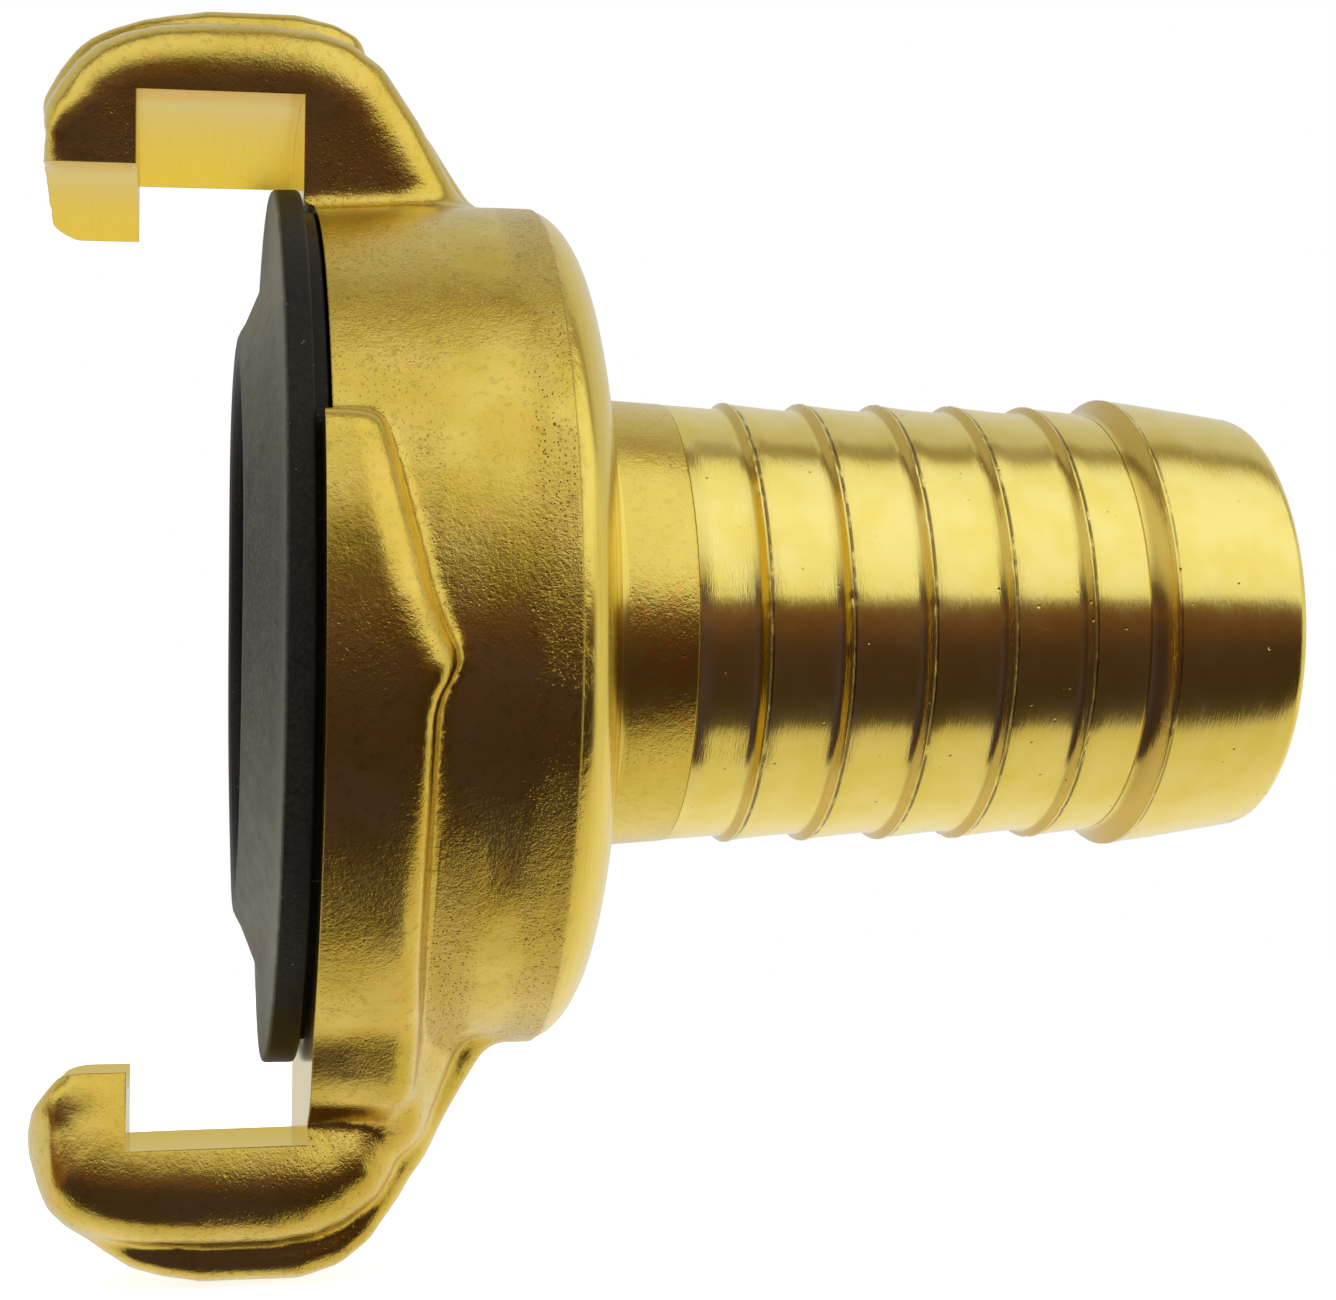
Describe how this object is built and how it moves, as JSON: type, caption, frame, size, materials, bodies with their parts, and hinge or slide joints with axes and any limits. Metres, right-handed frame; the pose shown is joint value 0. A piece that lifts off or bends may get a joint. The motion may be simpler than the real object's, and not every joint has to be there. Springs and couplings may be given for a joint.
{
  "type": "twist-claw hose coupling",
  "caption": "Forged brass twist-claw quick coupling half with a rubber face seal and a ribbed swivelling hose tail.",
  "frame": {"origin": "on the coupling's axis, at the middle of its length from the claws' noses to the hose end, which is 0.1 mm in front of the seam where the tail turns in the head; the head's front face is at x = -15.6 mm", "axes": "+X along the axis from the claws towards the hose end; +Z through the middle of the upper claw; +Y completes a right-handed frame"},
  "size_m": [0.055, 0.0418, 0.0556],
  "materials": {
    "forged_brass": "hot-forged and tumbled, satin with fine pits",
    "turned_brass": "fine turned",
    "seal_rubber": "moulded, matt",
    "o_ring_rubber": "moulded, slightly greased",
    "washer_polymer": "natural, low friction",
    "ring_steel": "stamped spring steel"
  },
  "bodies": {
    "head": {"claw_head": "forged_brass", "profile_seal": "seal_rubber", "thrust_washer": "washer_polymer"},
    "tail": {"hose_tail": "turned_brass", "o_ring": "o_ring_rubber", "retaining_ring": "ring_steel"}
  },
  "joints": [
    {"name": "tail_swivel", "type": "hinge", "parent": "head", "child": "tail", "pos_m": [0.00007, 0, 0], "axis": [1, 0, 0], "continuous": true}
  ]
}
